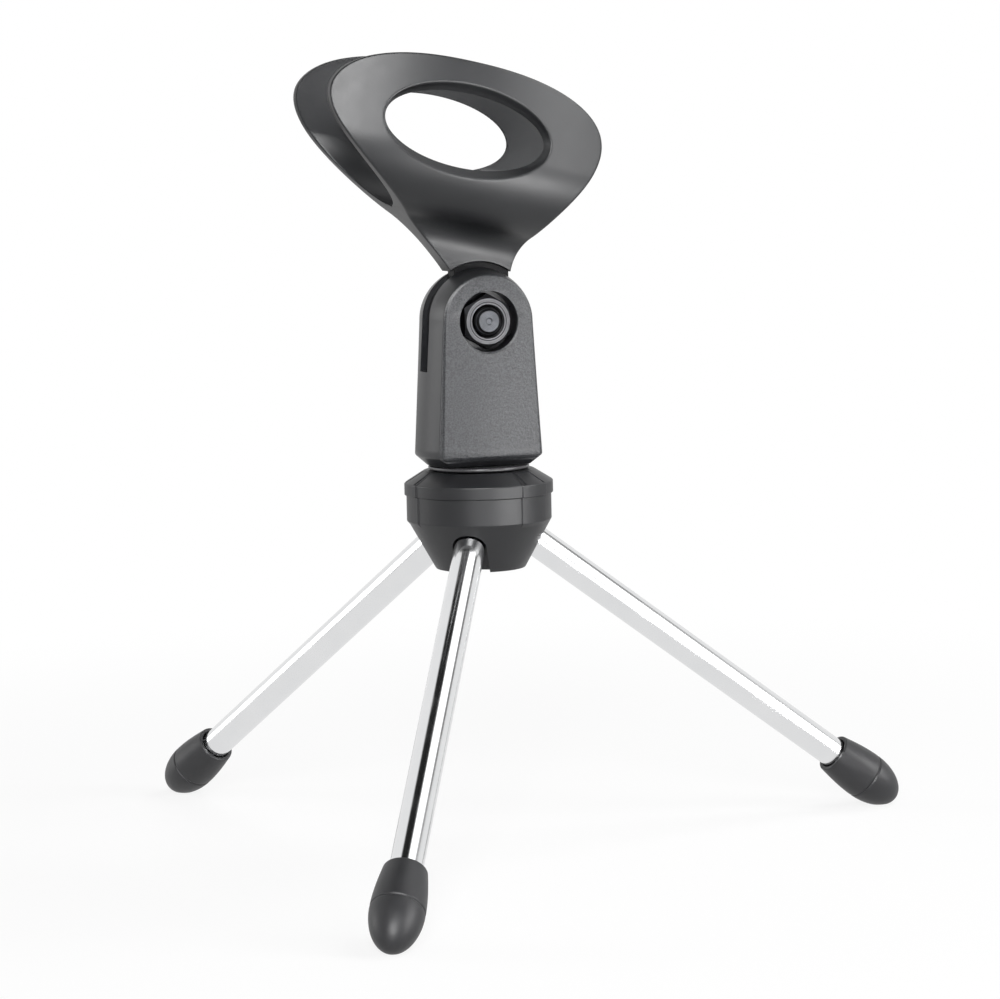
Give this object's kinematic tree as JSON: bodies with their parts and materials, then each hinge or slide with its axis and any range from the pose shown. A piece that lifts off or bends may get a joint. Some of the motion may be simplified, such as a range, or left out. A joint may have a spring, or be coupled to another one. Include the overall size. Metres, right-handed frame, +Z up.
{
  "type": "desktop microphone stand",
  "caption": "Small tripod table stand with folding chrome tube legs, rubber feet, a threaded hub and a tilting spring-fit plastic clip for a handheld microphone.",
  "frame": {"origin": "on the table, under the middle of the whole stand's footprint; the hub's vertical axis is 23.2 mm to the -X side of it", "axes": "+Z up; +X along the right leg, the way the low end of the clip points; the clip and its tilt axis are symmetric about the plane y = 0, and the pivot nut faces -Y"},
  "size_m": [0.1474, 0.1688, 0.166],
  "materials": {
    "clip_plastic": "satin black moulded plastic",
    "clevis_plastic": "black plastic with a fine spark-eroded grain",
    "hub_plastic": "satin black moulded plastic",
    "stud_plastic": "satin black moulded plastic",
    "foot_rubber": "matt black rubber",
    "leg_chrome": "bright chrome plate",
    "nut_steel": "dark satin steel",
    "pin_steel": "plain zinc-plated steel"
  },
  "bodies": {
    "base": {"hub_body": "hub_plastic", "hub_cap": "hub_plastic", "thread_stud": "stud_plastic", "hub_screw": "pin_steel", "leg_pin_right": "pin_steel", "leg_pin_rear": "pin_steel", "leg_pin_front": "pin_steel"},
    "leg_right": {"leg_tube_right": "leg_chrome", "leg_foot_right": "foot_rubber"},
    "leg_rear": {"leg_tube_rear": "leg_chrome", "leg_foot_rear": "foot_rubber"},
    "leg_front": {"leg_tube_front": "leg_chrome", "leg_foot_front": "foot_rubber"},
    "swivel": {"clevis": "clevis_plastic", "pivot_bolt": "nut_steel", "pivot_nut": "nut_steel"},
    "clip": {"mic_clip": "clip_plastic"}
  },
  "joints": [
    {"name": "leg_fold_right", "type": "hinge", "parent": "base", "child": "leg_right", "pos_m": [-0.01518, 0, 0.06716], "axis": [0, 1, 0], "range_deg": [0, 53]},
    {"name": "leg_fold_rear", "type": "hinge", "parent": "base", "child": "leg_rear", "pos_m": [-0.02718, 0.00693, 0.06716], "axis": [-0.866, -0.5, 0], "range_deg": [0, 53]},
    {"name": "leg_fold_front", "type": "hinge", "parent": "base", "child": "leg_front", "pos_m": [-0.02718, -0.00693, 0.06716], "axis": [0.866, -0.5, 0], "range_deg": [0, 53]},
    {"name": "clip_swivel", "type": "hinge", "parent": "base", "child": "swivel", "pos_m": [-0.02318, 0, 0.08066], "axis": [0, 0, 1], "range_deg": [0, 360]},
    {"name": "clip_tilt", "type": "hinge", "parent": "swivel", "child": "clip", "pos_m": [-0.02318, 0, 0.11096], "axis": [0, 1, 0], "range_deg": [-75, 75]}
  ]
}
